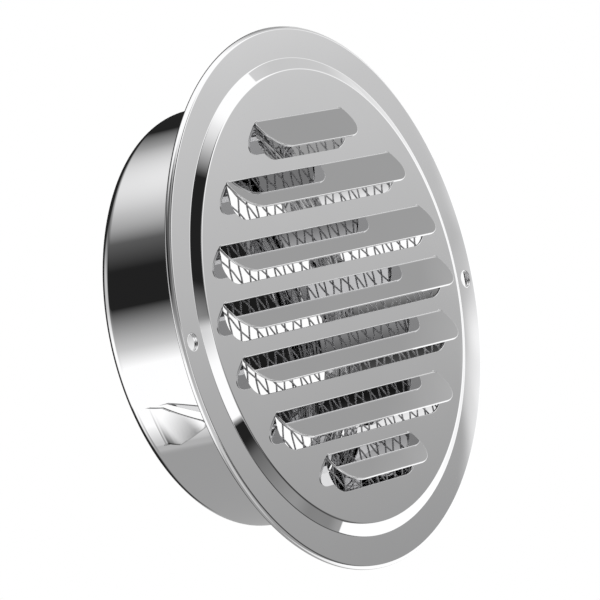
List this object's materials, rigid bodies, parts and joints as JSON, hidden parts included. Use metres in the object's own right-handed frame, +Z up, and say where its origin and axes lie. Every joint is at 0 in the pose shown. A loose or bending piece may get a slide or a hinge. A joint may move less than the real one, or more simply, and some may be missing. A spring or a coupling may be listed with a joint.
{
  "type": "round louvred vent cover",
  "caption": "Round polished sheet-metal vent cover: folded rim, raised panel with lanced louvres, wire insect screen behind it and a barbed collar that enters a duct.",
  "frame": {"origin": "on the collar's axis, in the plane where the folded rim bears on the wall", "axes": "+Z up, +Y into the wall along the collar, +X to the right seen from the front"},
  "size_m": [0.19, 0.0565, 0.19],
  "materials": {
    "polished_face": "bright polished stainless steel",
    "polished_collar": "bright polished stainless steel",
    "screen_wire": "drawn stainless steel wire"
  },
  "bodies": {
    "root": {"face_plate": "polished_face", "duct_collar": "polished_collar", "insect_screen": "screen_wire"}
  },
  "joints": []
}
